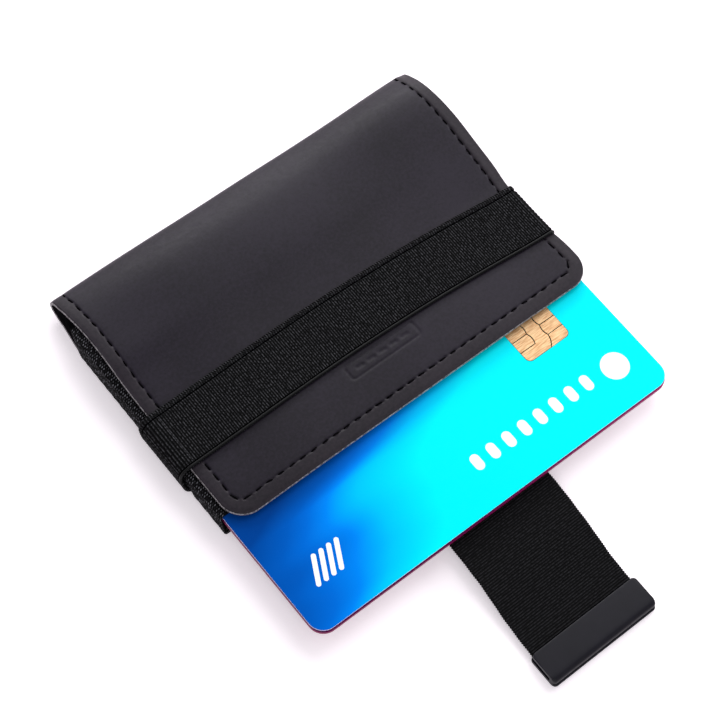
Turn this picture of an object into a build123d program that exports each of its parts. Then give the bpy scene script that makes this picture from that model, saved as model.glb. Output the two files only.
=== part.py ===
from build123d import *
import math
import os

# Slim card wallet: a folded cover round an elastic card sleeve, an elastic band outside,
# and a ribbon that loops behind the cards so that pulling its tab draws them out.
# Millimetres. X runs along the spine, the mouth faces -Y, the spine faces +Y, +Z is up.
# The origin is the middle of the cover's back panel, on its underside.

# ---- Driving dimensions ------------------------------------------------------------
cover_w = 87.0          # along the spine
cover_d = 58.7          # mouth edge to spine
leather_t = 0.8
lining_t = 0.2
lining_inset = 0.7      # the lining stops short of the cover's cut edge
corner_r = 5.0          # the cover's four free corners
spine_r = 1.5           # outer radius of the tight fold
fold_reach = 2.553      # the two panels' meeting point beyond the fold, in fold radii
fold_level = 0.40       # height of the fold, as a share of the crown's height
curl_y = 19.0           # where the back panel starts to rise towards the fold
curl_r = 9.0
crown_h = 0.9           # the front panel's crown beside the fold, above the rest of it
crown_fall = 0.25       # how much lower the crown is where it starts to flatten
crown_y = 19.5
crown_r = 6.0
crown_end_y = 6.0
front_r = 25.0          # the gentle turns of the front panel

card_w = 85.60          # ISO/IEC 7810 ID-1
card_d = 53.98
card_t = 0.76
card_r = 3.18
card_gap = 0.03         # between one card and the next
card_out = 25.6         # how far the upper cards stand out of the mouth
fan = 2.5               # how far the upper cards stand ahead of the bottom card
card_x = -1.7           # the loaded sleeve sits to the left in the cover
bottom_card_dx = 0.8    # side play taken up by the bottom card

sleeve_t = 0.6
sleeve_r = 1.5          # inside corners of the sleeve's end view
sleeve_left_play = 0.2  # cards to the sleeve's side walls
sleeve_right_play = 1.2
sleeve_front_inset = 2.95
sleeve_end_y = 20.5     # the sleeve stops short of the fold
seam_inset = 3.4        # the sleeve's seam behind its mouth
seam_half = 38.0        # half the seam's length
seam_gap = 1.0          # the front seam leaves out the ribbon and this much beside it

band_w = 13.2
band_t = 0.7
band_y = -9.2
band_left_air = 0.05    # band to sleeve on the left, where it bulges round the cards
band_right_air = 0.6    # band to cover on the right
band_left_r = 1.8       # inside corners of the band's end view
band_right_r = 0.8
band_side_air = 0.2     # band to the sides of its dent in the back panel
ramp = 1.3              # length of the dent's ramps
ramp_r = 1.2
tack_w = 2.4            # the block of stitches that closes the band's loop
tack_inset = 1.2
tack_rows = 4

ribbon_w = 24.2
ribbon_t = 0.45
ribbon_x = -3.3
loop_leg = 2.65         # how far the loop reaches over and under the cards
loop_air = 0.17         # loop to the cards' rear edge
joint_gap = 0.05        # between the stretches that the ribbon is cut into
anchor_inset = 1.2      # the ribbon's sewn end behind the sleeve's mouth
anchor_tack_inset = 0.6 # the anchor's stitches behind the ribbon's end
anchor_tack_d = 2.0
anchor_tack_w = 20.0
anchor_tack_rows = 15
tail_from_mouth = 1.6   # the hidden and the shown stretch of the lower run part here
tail_level = 5.0        # the shown stretch stays level for this much ahead of the cards

tab_w = 25.0
tab_d = 6.9
tab_h = 2.4
tab_plate_t = 0.7
tab_bend_t = 1.2        # metal in front of the slot
tab_nose_r = 1.0        # end view's corners at the front
tab_corner_r = 1.3      # corners seen from above
tab_front_y = -86.9
tab_ribbon_air = 0.2    # ribbon's end to the bottom of the slot
tab_lead = 1.5          # the ribbon leaves the slot straight for this much

stitch_pitch = 2.57
stitch_inset = 2.6
stitch_len = 1.75
thread_w = 0.42
thread_t = 0.30
least_r = 0.05          # smallest inside radius of any fold
beyond = 20.0           # a reach that passes right through any part here

chip_w = 10.7
chip_d = 10.6
chip_t = 0.18
chip_r = 1.2
chip_air = 0.02         # contact plate to its pocket
chip_from_side = 14.75  # card's short edge to the contact plate's middle
chip_from_edge = 23.9   # card's long edge to the contact plate's middle

skin_gap = 0.03         # between soft layers of the body
slide_gap = 0.05        # between layers that slide

# ---- Levels of the stack, from the table up -----------------------------------------
y_mouth = -cover_d / 2
y_spine = cover_d / 2
dent = band_t + 0.02                                    # the band sinks into the back
z_sleeve_floor = dent + leather_t + lining_t + skin_gap + sleeve_t
z_ribbon_low = z_sleeve_floor + slide_gap
z_card_bottom = z_ribbon_low + ribbon_t + slide_gap
z_card_middle = z_card_bottom + card_t + card_gap
z_card_top = z_card_middle + card_t + card_gap
z_ribbon_high = z_card_top + card_t + slide_gap
z_sleeve_roof = z_ribbon_high + ribbon_t + slide_gap
z_front = z_sleeve_roof + sleeve_t + skin_gap + lining_t + leather_t
z_dome = z_front + crown_h

y_card_front = y_mouth - card_out
y_loop_inner = y_card_front + fan + card_d + loop_air
y_loop_outer = y_loop_inner + ribbon_t

band_lo = band_y - band_w / 2
band_hi = band_y + band_w / 2
dent_lo = band_lo - band_side_air
dent_hi = band_hi + band_side_air


def profile_points():
    """The cover's outer surface as a side view, from the back's mouth edge round the spine."""
    tip = y_spine + fold_reach * spine_r
    return [
        (y_mouth, 0),
        (dent_lo - ramp, 0),
        (dent_lo, dent),
        (dent_hi, dent),
        (dent_hi + ramp, 0),
        (curl_y, 0),
        (tip, fold_level * z_dome),
        (crown_y, z_dome),
        (crown_end_y, z_dome - crown_fall),
        (dent_hi + ramp, z_front),
        (y_mouth, z_front),
    ]


profile_radii = [ramp_r, ramp_r, ramp_r, ramp_r, curl_r, spine_r, crown_r, front_r, front_r]


def turn_radius(points, radii, inward):
    """Fillet radii of the same outline moved inward: left turns shrink, right turns grow."""
    out = []
    for (y0, z0), (y1, z1), (y2, z2), r in zip(points, points[1:], points[2:], radii):
        cross = (y1 - y0) * (z2 - z1) - (z1 - z0) * (y2 - y1)
        out.append(max(r - inward, least_r) if cross > 0 else r + inward)
    return out


def moved_points(points, inward):
    """The outline's corners moved inward (to the left of its direction) by a fixed distance."""
    lines = []
    for (y0, z0), (y1, z1) in zip(points, points[1:]):
        run = math.hypot(y1 - y0, z1 - z0)
        ny, nz = -(z1 - z0) / run, (y1 - y0) / run
        lines.append(((y0 + ny * inward, z0 + nz * inward), ((y1 - y0) / run, (z1 - z0) / run)))
    out = [lines[0][0]]
    for (p, d), (q, e) in zip(lines, lines[1:]):
        det = d[0] * e[1] - d[1] * e[0]
        t = ((q[0] - p[0]) * e[1] - (q[1] - p[1]) * e[0]) / det
        out.append((p[0] + d[0] * t, p[1] + d[1] * t))
    last_y, last_z = points[-1]
    out.append((last_y, last_z - inward))
    return out


def side_path(inward):
    """The side view's line, a fixed distance inside the cover's outer surface."""
    points = moved_points(profile_points(), inward)
    radii = turn_radius(profile_points(), profile_radii, inward)
    return FilletPolyline(*points, radius=radii)


def side_region(inward):
    """The area inside that line, closed across the mouth."""
    path = side_path(inward)
    return make_face([path, Line(path @ 1, path @ 0)])


def across(face, x0, x1):
    """A side-view face made solid from x0 to x1."""
    return Pos(x0, 0, 0) * extrude(Plane.YZ * face, amount=x1 - x0)


def block(x0, x1, y0, y1, z0, z1):
    return Pos((x0 + x1) / 2, (y0 + y1) / 2, (z0 + z1) / 2) * Box(x1 - x0, y1 - y0, z1 - z0)


def plan(w, d, r):
    """A rounded rectangle seen from above, tall enough to trim anything here."""
    return Pos(0, 0, -beyond) * extrude(RectangleRounded(w, d, r), amount=3 * beyond)


# ---- Cover ---------------------------------------------------------------------------
def trimmed_to_outline(solid, inset):
    """Rounds the four free corners, and leaves the spine square."""
    d = cover_d - inset + beyond
    return solid & Pos(0, y_mouth + inset + d / 2, 0) * plan(cover_w - 2 * inset, d, corner_r - inset)


cover_filled = across(side_region(0), -cover_w / 2, cover_w / 2)


def make_cover():
    inside = across(side_region(leather_t), -cover_w, cover_w)
    return trimmed_to_outline(cover_filled - inside, 0)


def make_lining():
    outside = across(side_region(leather_t), -cover_w / 2, cover_w / 2)
    inside = across(side_region(leather_t + lining_t), -cover_w, cover_w)
    return trimmed_to_outline(outside - inside, lining_inset)


# ---- Stitches ------------------------------------------------------------------------
def stitch(centre, along, outward):
    """One thread, sunk flush into the surface that it holds."""
    plane = Plane(origin=centre - outward * (thread_t / 2), x_dir=along, z_dir=outward)
    return plane * Box(stitch_len, thread_w, thread_t)


def rounded_loop_point(w, h, r, s):
    """Point and direction at length s along a rounded rectangle centred on the origin."""
    straight = [w - 2 * r, h - 2 * r, w - 2 * r, h - 2 * r]
    starts = [(-w / 2 + r, -h / 2), (w / 2, -h / 2 + r), (w / 2 - r, h / 2), (-w / 2, h / 2 - r)]
    for side in range(4):
        a = side * math.pi / 2
        dx, dy = math.cos(a), math.sin(a)
        x0, y0 = starts[side]
        if s <= straight[side]:
            return x0 + dx * s, y0 + dy * s, dx, dy
        s -= straight[side]
        arc = r * math.pi / 2
        if s <= arc:
            x1, y1 = x0 + dx * straight[side], y0 + dy * straight[side]
            turn = s / r
            cx, cy = x1 - dy * r, y1 + dx * r
            b = a + turn
            return cx + math.sin(b) * r, cy - math.cos(b) * r, math.cos(b), math.sin(b)
        s -= arc
    return starts[0][0], starts[0][1], 1.0, 0.0


def make_edge_stitching():
    """One line of stitches all round the flat cover, laid onto its folded outer surface."""
    path = Wire(side_path(0).edges())
    length = path.length
    w = cover_w - 2 * stitch_inset
    h = length - 2 * stitch_inset
    r = corner_r - stitch_inset
    total = 2 * (w + h) - 8 * r + 2 * math.pi * r
    count = round(total / stitch_pitch)
    back = []
    front = []
    for k in range(count):
        x, v, dx, dv = rounded_loop_point(w, h, r, (k + 0.5) * total / count)
        u = (v + length / 2) / length
        point = path @ u
        direction = path % u
        tangent = Vector(0, direction.X, direction.Y)
        along = Vector(dx, 0, 0) + tangent * dv
        outward = Vector(0, tangent.Z, -tangent.Y)
        thread = stitch(Vector(x, point.X, point.Y), along, outward) & cover_filled
        panel = back if u < 0.5 else front
        panel.extend(thread.solids())
    return back, front


def stitch_row(x0, x1, y, z, up):
    """A straight row along X on a level surface."""
    count = round((x1 - x0) / stitch_pitch)
    step = (x1 - x0) / count
    along = Vector(1, 0, 0)
    outward = Vector(0, 0, up)
    return [stitch(Vector(x0 + step * (k + 0.5), y, z), along, outward) for k in range(count)]


def bar_tack(x, w, y0, y1, z, rows):
    """A dense block of short threads laid along Y, sunk into the surface above them."""
    out = []
    for k in range(rows):
        at = x - w / 2 + w * k / (rows - 1)
        out.append(Pos(at, (y0 + y1) / 2, z + thread_t / 2) * Box(thread_w, y1 - y0, thread_t))
    return out


# ---- Sleeve --------------------------------------------------------------------------
sleeve_in_x0 = card_x - card_w / 2 - sleeve_left_play
sleeve_in_x1 = card_x + card_w / 2 + sleeve_right_play
sleeve_y0 = y_mouth + sleeve_front_inset


def sleeve_body(grow, inward):
    """A solid filling of the sleeve: its side view crossed with its rounded end view."""
    x0, x1 = sleeve_in_x0 - grow, sleeve_in_x1 + grow
    z0 = leather_t + lining_t + skin_gap + sleeve_t - grow
    z1 = z_dome - z0
    corners = RectangleRounded(x1 - x0, z1 - z0, sleeve_r + grow)
    end_view = Plane.XZ * (Pos((x0 + x1) / 2, (z0 + z1) / 2) * corners)
    bar = Pos(0, y_spine, 0) * extrude(end_view, amount=2 * cover_d)
    return bar & across(side_region(inward), -cover_w, cover_w)


def make_sleeve():
    """The sleeve's front and back panels, and the gusset that joins them at each side."""
    skin = leather_t + lining_t + skin_gap
    tube = sleeve_body(sleeve_t, skin) - sleeve_body(0, skin + sleeve_t)
    x0, x1, y0, y1 = sleeve_in_x0, sleeve_in_x1, sleeve_y0, sleeve_end_y
    z_middle = (z_sleeve_floor + z_sleeve_roof) / 2
    return {
        "sleeve_front_panel": tube & block(x0, x1, y0, y1, z_middle, beyond),
        "sleeve_back_panel": tube & block(x0, x1, y0, y1, 0, z_middle),
        "sleeve_gusset_left": tube & block(-cover_w, x0, y0, y1, 0, beyond),
        "sleeve_gusset_right": tube & block(x1, cover_w, y0, y1, 0, beyond),
    }


def make_sleeve_seams():
    """The rows of stitches that hold the sleeve to the cover, seen from inside the sleeve."""
    x = (sleeve_in_x0 + sleeve_in_x1) / 2
    y = sleeve_y0 + seam_inset
    gap = ribbon_w / 2 + seam_gap
    left = stitch_row(x - seam_half, ribbon_x - gap, y, z_sleeve_roof, -1)
    right = stitch_row(ribbon_x + gap, x + seam_half, y, z_sleeve_roof, -1)
    floor = stitch_row(x - seam_half, x + seam_half, y, z_sleeve_floor - dent, 1)
    return left + right, floor


# ---- Elastic band --------------------------------------------------------------------
band_left_x = sleeve_in_x0 - sleeve_t - band_left_air
band_right_x = cover_w / 2 + band_right_air


def band_view(grow):
    """End view of the band's loop, with rounder corners on the side that bulges."""
    x0, x1 = band_left_x - grow, band_right_x + grow
    z0, z1 = band_t - grow, z_front + skin_gap + grow
    left, right = band_left_r + grow, band_right_r + grow
    corners = [(x0, z0, left), (x1, z0, right), (x1, z1, right), (x0, z1, left)]
    face = Pos((x0 + x1) / 2, (z0 + z1) / 2) * Rectangle(x1 - x0, z1 - z0)
    for x, z, r in corners:
        vertex = face.vertices().sort_by_distance(Vector(x, z, 0))[0]
        face = fillet(vertex, r)
    return face


def make_band():
    ring = band_view(band_t) - band_view(0)
    return Pos(0, band_y + band_w / 2, 0) * extrude(Plane.XZ * ring, amount=band_w)


# ---- Cards ---------------------------------------------------------------------------
def make_card(dx, front_y, z0):
    """One card with its contact plate let in flush. The plate sits to the right of the mouth."""
    x = card_x + dx
    outline = RectangleRounded(card_w, card_d, card_r)
    body = Pos(x, front_y + card_d / 2, z0) * extrude(outline, amount=card_t)
    chip_x = x + card_w / 2 - chip_from_side
    chip_y = front_y + chip_from_edge
    chip_z = z0 + card_t - chip_t
    plate = Pos(chip_x, chip_y, chip_z) * extrude(RectangleRounded(chip_w, chip_d, chip_r), amount=chip_t)
    hole = RectangleRounded(chip_w + 2 * chip_air, chip_d + 2 * chip_air, chip_r + chip_air)
    pocket = Pos(chip_x, chip_y, chip_z - chip_air) * extrude(hole, amount=card_t)
    return body - pocket, plate


# ---- Ribbon and pull tab ---------------------------------------------------------------
def ribbon(points):
    """A ribbon from its underside's (y, z) points."""
    upper = [(y, z + ribbon_t) for y, z in reversed(points)]
    face = make_face(Polyline(*points, *upper, close=True))
    return across(face, ribbon_x - ribbon_w / 2, ribbon_x + ribbon_w / 2)


y_anchor = sleeve_y0 + anchor_inset
y_tail = y_mouth - tail_from_mouth
y_leg = y_loop_outer - loop_leg
z_tab_ribbon = tab_h / 2 - ribbon_t / 2
y_tab_slot = tab_front_y + tab_bend_t


def make_upper_run():
    return ribbon([(y_anchor, z_ribbon_high), (y_leg - joint_gap, z_ribbon_high)])


def make_lower_run():
    return ribbon([(y_tail + joint_gap, z_ribbon_low), (y_leg - joint_gap, z_ribbon_low)])


def make_tail():
    """The stretch that shows: level out of the mouth, then down to the tab."""
    return ribbon([
        (y_tab_slot + tab_ribbon_air, z_tab_ribbon),
        (tab_front_y + tab_d + tab_lead, z_tab_ribbon),
        (y_card_front - tail_level, z_ribbon_low),
        (y_tail, z_ribbon_low),
    ])


def make_loop():
    """The turn behind the cards, with its two short legs."""
    z0, z1 = z_ribbon_low, z_ribbon_high + ribbon_t
    reach = 2 * loop_leg
    r = ribbon_t + 0.1
    yc = y_loop_outer - reach / 2
    outer = Pos(yc, (z0 + z1) / 2) * RectangleRounded(reach, z1 - z0, r)
    inner = Pos(yc - ribbon_t, (z0 + z1) / 2) * RectangleRounded(reach, z1 - z0 - 2 * ribbon_t, r - ribbon_t)
    turn = across(outer - inner, ribbon_x - ribbon_w / 2, ribbon_x + ribbon_w / 2)
    return turn & block(-cover_w, cover_w, y_leg, y_loop_outer, 0, beyond)


def make_tab():
    """A strip of metal folded round the ribbon's end."""
    reach = 2 * tab_d
    outer = Pos(tab_front_y + reach / 2, tab_h / 2) * RectangleRounded(reach, tab_h, tab_nose_r)
    slot = Pos(y_tab_slot + reach / 2, tab_h / 2) * Rectangle(reach, tab_h - 2 * tab_plate_t)
    clamp = across(outer - slot, ribbon_x - tab_w / 2, ribbon_x + tab_w / 2)
    return clamp & Pos(ribbon_x, tab_front_y + tab_d / 2, 0) * plan(tab_w, tab_d, tab_corner_r)


# ---- The separate pieces ------------------------------------------------------------------

parts = {}
parts["cover_leather"] = make_cover()
parts["cover_lining"] = make_lining()
stitches_back, stitches_front = make_edge_stitching()
parts["edge_stitching_back"] = Compound(children=stitches_back)
parts["edge_stitching_front"] = Compound(children=stitches_front)
parts.update(make_sleeve())
seam_front, seam_back = make_sleeve_seams()
parts["sleeve_seam_front"] = Compound(children=seam_front)
parts["sleeve_seam_back"] = Compound(children=seam_back)
parts["elastic_band"] = make_band()
parts["band_join_stitching"] = Compound(children=bar_tack(
    0, tack_w, band_lo + tack_inset, band_hi - tack_inset, 0, tack_rows))

y_tack = y_anchor + anchor_tack_inset
parts["strap_upper_run"] = make_upper_run()
parts["strap_anchor_stitching"] = Compound(children=bar_tack(
    ribbon_x, anchor_tack_w, y_tack, y_tack + anchor_tack_d, z_ribbon_high, anchor_tack_rows))
parts["strap_loop"] = make_loop()
parts["strap_lower_run"] = make_lower_run()
parts["strap_tail"] = make_tail()
parts["pull_tab"] = make_tab()

for name, dx, front_y, z0 in [
        ("card_bottom", bottom_card_dx, y_card_front + fan, z_card_bottom),
        ("card_middle", 0, y_card_front, z_card_middle),
        ("card_top", 0, y_card_front, z_card_top)]:
    body, plate = make_card(dx, front_y, z0)
    parts[name] = body
    parts[name + "_chip"] = plate

os.makedirs("parts", exist_ok=True)
for name, shape in parts.items():
    shape.label = name
    export_step(shape, f"parts/{name}.step")
    print(name, len(shape.solids()), round(shape.volume, 2))
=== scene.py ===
import math

import bmesh
import bpy
import numpy as np
from mathutils import Matrix, Vector


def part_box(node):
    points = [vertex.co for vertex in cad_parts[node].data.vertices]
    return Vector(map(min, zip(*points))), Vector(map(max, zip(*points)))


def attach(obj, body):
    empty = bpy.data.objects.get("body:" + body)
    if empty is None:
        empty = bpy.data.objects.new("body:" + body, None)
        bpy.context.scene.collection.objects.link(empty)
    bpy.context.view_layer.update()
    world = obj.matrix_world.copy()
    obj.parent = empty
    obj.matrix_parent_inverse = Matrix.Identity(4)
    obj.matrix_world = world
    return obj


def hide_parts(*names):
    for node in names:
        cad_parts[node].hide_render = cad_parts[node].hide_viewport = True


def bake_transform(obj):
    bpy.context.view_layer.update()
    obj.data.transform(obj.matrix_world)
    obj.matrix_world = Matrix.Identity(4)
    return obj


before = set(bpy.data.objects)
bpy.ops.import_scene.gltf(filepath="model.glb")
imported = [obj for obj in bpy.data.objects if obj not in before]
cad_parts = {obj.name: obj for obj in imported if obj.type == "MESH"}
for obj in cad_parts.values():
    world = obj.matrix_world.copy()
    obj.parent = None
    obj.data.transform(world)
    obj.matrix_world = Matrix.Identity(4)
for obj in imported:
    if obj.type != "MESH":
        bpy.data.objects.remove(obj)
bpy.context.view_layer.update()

# A slim card wallet: folded leather cover, elastic card sleeve, elastic band, three cards and
# a pull ribbon with a metal tab. Lengths are in millimetres here and are scaled when meshes
# are made. X runs along the spine, the mouth faces -Y, Z is up.
MM = 0.001
UV_MM = 0.01                # a millimetre of cloth in its UV map

# ---- Driving sizes ----
HALF_W = 43.5               # half the cover's length along the spine
Y_MOUTH = -29.35
Y_TIP = 29.45               # the fold's outermost point
CORNER_R = 5.0
LEATHER_T = 0.70
LINING_T = 0.12
LINING_INSET = 0.7
LAYER_GAP = 0.02            # left free between two layers

STITCH_INSET = 2.6          # sewn line to the leather's side edges
MOUTH_INSET = 3.1           # and to its edges at the mouth
STITCH_PITCH = 2.57
STITCH_LEN = 1.45
THREAD_R = 0.12
INNER_THREAD_R = 0.13       # thread of the sleeve's seams and the ribbon's anchor
JOIN_THREAD_R = 0.17

MARK_X, MARK_Y = -0.4, -18.0     # the frame pressed into the front: its middle,
MARK_W, MARK_D = 16.5, 3.3       # its size
MARK_R = 0.7                     # and its corners
MARK_BARS = 5
MARK_BAR_PITCH = 2.7
MARK_BAR_HALF_W, MARK_BAR_HALF_D = 0.75, 0.18

SLEEVE_T = 0.28
SLEEVE_X0, SLEEVE_X1 = -45.08, 42.95
SLEEVE_Y0, SLEEVE_Y1 = -26.4, 21.2
SLEEVE_FINE_X0, SLEEVE_FINE_X1 = -41.0, 38.6     # past these, to its sides, its mesh is finer
SLEEVE_FLOOR = LEATHER_T + LINING_T + 3 * LAYER_GAP
SEAM_X0, SEAM_X1 = -39.3, 36.7
SEAM_Y = -23.0

BAND_W = 13.2
BAND_T = 0.68
BAND_RIB = 0.50             # pitch of the band's ribs
BAND_GAP = 0.03             # band to leather
BAND_LOW = BAND_T + 0.01    # its inner face on the back
BAND_LEFT, BAND_RIGHT = -45.45, 42.95    # its inner face at the two turns
BAND_FLAT = (-42.4, 42.3)   # where its two runs start to turn
GROOVE_LOW, GROOVE_HIGH = 0.62, 11.95    # the grooves beside its two selvages

RIBBON_W = 24.2
RIBBON_T = 0.45
RIBBON_X = -3.3
RIBBON_RIB = 0.5
RIBBON_HIGH = 5.29 + RIBBON_T / 2        # its middle above the cards and below them
RIBBON_LOW = 2.40 + RIBBON_T / 2
RIBBON_INNER_END = -25.2
RIBBON_TURN = -0.5          # where its two runs meet the turn behind the cards
RIBBON_END = -85.4
RIBBON_END_Z = 1.2
BEND_R = 0.36

CARD_W = 85.60
CARD_D = 53.98
CARD_R = 3.18
MIDDLE_CARD_FORWARD = 0.22  # the middle card's edge past the top card's

SLANTS_AT = (-34.6, -44.6)  # the top card's marks: the middle of its slanting bars,
BARS_AT = (-0.2, -46.0)     # the first of its short bars
DISC_AT = (33.9, -46.6)     # and its disc
DISC_R = 2.9

CHIP_HALF_W, CHIP_HALF_D = 5.35, 5.30
CHIP_R = 1.2
CHIP_ROWS = (-5.30, -2.75, -0.20, 2.35, 5.30)
CHIP_WAIST = (0.35, 1.65, 1.65, 1.65, 0.35)

FLOOR_HALF = 1500
FLOOR_Z = -0.12

# Height of the cover's outer skin at some y: at its left end, its middle and its right end.
FRONT_HEIGHTS = [
    (28.6, 4.25, 4.8, 6.1),
    (27.0, 5.1, 5.7, 7.2),
    (24.0, 6.1, 6.9, 8.6),
    (21.5, 6.65, 7.5, 9.1),
    (19.0, 7.05, 7.8, 9.2),
    (15.0, 7.4, 7.95, 8.9),
    (10.0, 7.5, 7.8, 8.3),
    (5.0, 6.85, 7.4, 7.7),
    (0.0, 6.55, 7.1, 7.05),
    (-3.0, 6.45, 6.98, 6.65),
    (-9.0, 6.44, 6.95, 6.45),
    (-15.5, 6.44, 6.95, 6.5),
    (-18.0, 6.46, 7.0, 6.62),
    (-24.0, 6.52, 7.03, 6.72),
    (-29.35, 6.48, 6.98, 6.65),
]
BACK_HEIGHTS = [
    (28.6, 1.15, 1.9, 3.0),
    (27.0, 0.35, 1.2, 1.95),
    (24.0, 0.04, 0.45, 0.8),
    (21.5, 0.0, 0.15, 0.25),
    (19.0, 0.0, 0.03, 0.05),
    (15.0, 0.0, 0.0, 0.0),
    (10.0, 0.0, 0.0, 0.0),
    (-29.35, 0.0, 0.0, 0.0),
]
TIP_HEIGHTS = (2.6, 3.3, 4.6)

# The middle of the band: places along x, their y on the front, and the two ends' y on the back.
BAND_LINE_X = (-46, -30, -2, 13, 28, 38, 46)
BAND_LINE_Y = (-9.1, -9.0, -8.9, -9.4, -10.3, -11.1, -11.5)
BAND_BACK_Y = (-10.7, -11.5)


# ---- Curves and distances ----
def smoothstep(value, start, end):
    t = np.clip((value - start) / (end - start), 0, 1)
    return t * t * (3 - 2 * t)


def bell(offset, width, power=2):
    """1 where the offset is 0, falling away over the width; a high power makes a flat top."""
    return np.exp(-((np.abs(offset) / width) ** power))


def smooth_curve(at, knots, values):
    """A cubic curve through the knots, with slopes from their neighbours."""
    k = np.asarray(knots, float)
    v = np.asarray(values, float)
    slope = np.gradient(v, k)
    i = np.clip(np.searchsorted(k, at) - 1, 0, len(k) - 2)
    h = k[i + 1] - k[i]
    t = (at - k[i]) / h
    start = (2 * t**3 - 3 * t**2 + 1) * v[i] + (t**3 - 2 * t**2 + t) * h * slope[i]
    end = (3 * t**2 - 2 * t**3) * v[i + 1] + (t**3 - t**2) * h * slope[i + 1]
    return start + end


def ripple(place, pitch):
    return np.sin(2 * math.pi * place / pitch)


def unit(vectors):
    return vectors / np.maximum(np.linalg.norm(vectors, axis=-1, keepdims=True), 1e-12)


def run_along(points):
    """Distance along a line of points, from its first one."""
    return np.concatenate([[0], np.cumsum(np.linalg.norm(np.diff(points, axis=0), axis=1))])


def rectangle_distance(x, y, half_w, half_d, r):
    """Distance from a rounded rectangle round the origin, less than 0 inside it."""
    qx = np.abs(x) - (half_w - r)
    qy = np.abs(y) - (half_d - r)
    return np.hypot(np.maximum(qx, 0), np.maximum(qy, 0)) + np.minimum(np.maximum(qx, qy), 0) - r


def spaced(stops):
    """Values from stop to stop, each stretch at its own spacing: (start, spacing), ..., (end, None)."""
    out = [stops[0][0]]
    for (a, gap), (b, _) in zip(stops, stops[1:]):
        n = max(1, round((b - a) / gap))
        out += list(np.linspace(a, b, n + 1)[1:])
    return np.array(out)


def mirrored(values):
    """Values from 0 up, with the same ones below 0."""
    return np.concatenate([-values[:0:-1], values])


def span(node):
    """Lowest and highest corner of a node's box, in millimetres."""
    low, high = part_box(node)
    return low / MM, high / MM


# ---- Meshes ----
def grid_quads(rows, cols, wrap_rows=False, wrap_cols=False):
    """Faces of a grid of vertices that is numbered row by row."""
    i, j = np.meshgrid(
        np.arange(rows if wrap_rows else rows - 1),
        np.arange(cols if wrap_cols else cols - 1),
        indexing="ij",
    )
    i2 = (i + 1) % rows
    j2 = (j + 1) % cols
    return np.stack([i * cols + j, i * cols + j2, i2 * cols + j2, i2 * cols + j], -1).reshape(-1, 4)


def tube_faces(rows, cols):
    """Faces of a closed tube of rings, with a cap on each end."""
    faces = grid_quads(rows, cols, wrap_cols=True).tolist()
    return faces + [list(range(cols)), list(range(rows * cols - 1, (rows - 1) * cols - 1, -1))]


def linked(name, mesh):
    """A new object for a mesh or a light or a camera, in the scene."""
    made = bpy.data.objects.new(name, mesh)
    bpy.context.scene.collection.objects.link(made)
    return made


def mesh_piece(name, points, faces, materials, material_index=None, uv=None, sharp=40, closed=True):
    """A mesh object from points in millimetres. uv is one pair of millimetres for each point.

    On a closed mesh every face is turned outward."""
    mesh = bpy.data.meshes.new(name)
    mesh.from_pydata((np.asarray(points, float) * MM).tolist(), [], faces)
    for m in materials:
        mesh.materials.append(m)
    if material_index is not None:
        mesh.polygons.foreach_set("material_index", np.asarray(material_index, np.int32))
    if uv is not None:
        layer = mesh.uv_layers.new(name="cloth")
        corner = np.zeros(len(mesh.loops), np.int32)
        mesh.loops.foreach_get("vertex_index", corner)
        layer.data.foreach_set("uv", (np.asarray(uv, np.float32) * UV_MM)[corner].ravel())
    mesh.polygons.foreach_set("use_smooth", np.ones(len(mesh.polygons), bool))
    mesh.set_sharp_from_angle(angle=math.radians(sharp))
    mesh.validate()
    if closed:
        work = bmesh.new()
        work.from_mesh(mesh)
        bmesh.ops.recalc_face_normals(work, faces=work.faces)
        work.to_mesh(mesh)
        work.free()
    return linked(name, mesh)


def slab(name, outer, inner, materials, outer_index=0, bulge=0.06):
    """A thick sheet between two grids of the same shape, with a slightly rounded rim.

    Its first materials are the outer face's, the inner face's and the rim's. outer_index is
    one material, or one for each square of the outer face."""
    rows, cols = outer.shape[:2]
    count = rows * cols
    border = np.concatenate([
        np.arange(cols),
        np.arange(1, rows) * cols + cols - 1,
        (rows - 1) * cols + np.arange(cols - 2, -1, -1),
        np.arange(rows - 2, 0, -1) * cols,
    ])
    flat_outer = outer.reshape(-1, 3)
    flat_inner = inner.reshape(-1, 3)
    edge_outer = flat_outer[border]
    edge_inner = flat_inner[border]
    along = unit(np.roll(edge_outer, -1, 0) - np.roll(edge_outer, 1, 0))
    away = unit(np.cross(along, unit(edge_outer - edge_inner)))
    if ((edge_outer - flat_outer.mean(0)) * away).sum() < 0:
        away = -away
    rings = [
        edge_outer * (1 - t) + edge_inner * t + away * bulge * grow
        for t, grow in ((0.15, 0.75), (0.5, 1.0), (0.85, 0.75))
    ]
    n = len(border)
    loops = [border] + [2 * count + k * n + np.arange(n) for k in range(3)] + [count + border]
    top = grid_quads(rows, cols)
    faces = [top, top[:, ::-1] + count]
    index = [np.zeros(len(top)) + outer_index, np.ones(len(top))]
    for a, b in zip(loops, loops[1:]):
        faces.append(np.stack([a, b, np.roll(b, -1), np.roll(a, -1)], -1))
        index.append(np.full(n, 2))
    points = np.concatenate([flat_outer, flat_inner, *rings])
    faces = np.concatenate(faces).tolist()
    return mesh_piece(name, points, faces, materials, np.concatenate(index), sharp=50)


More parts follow.
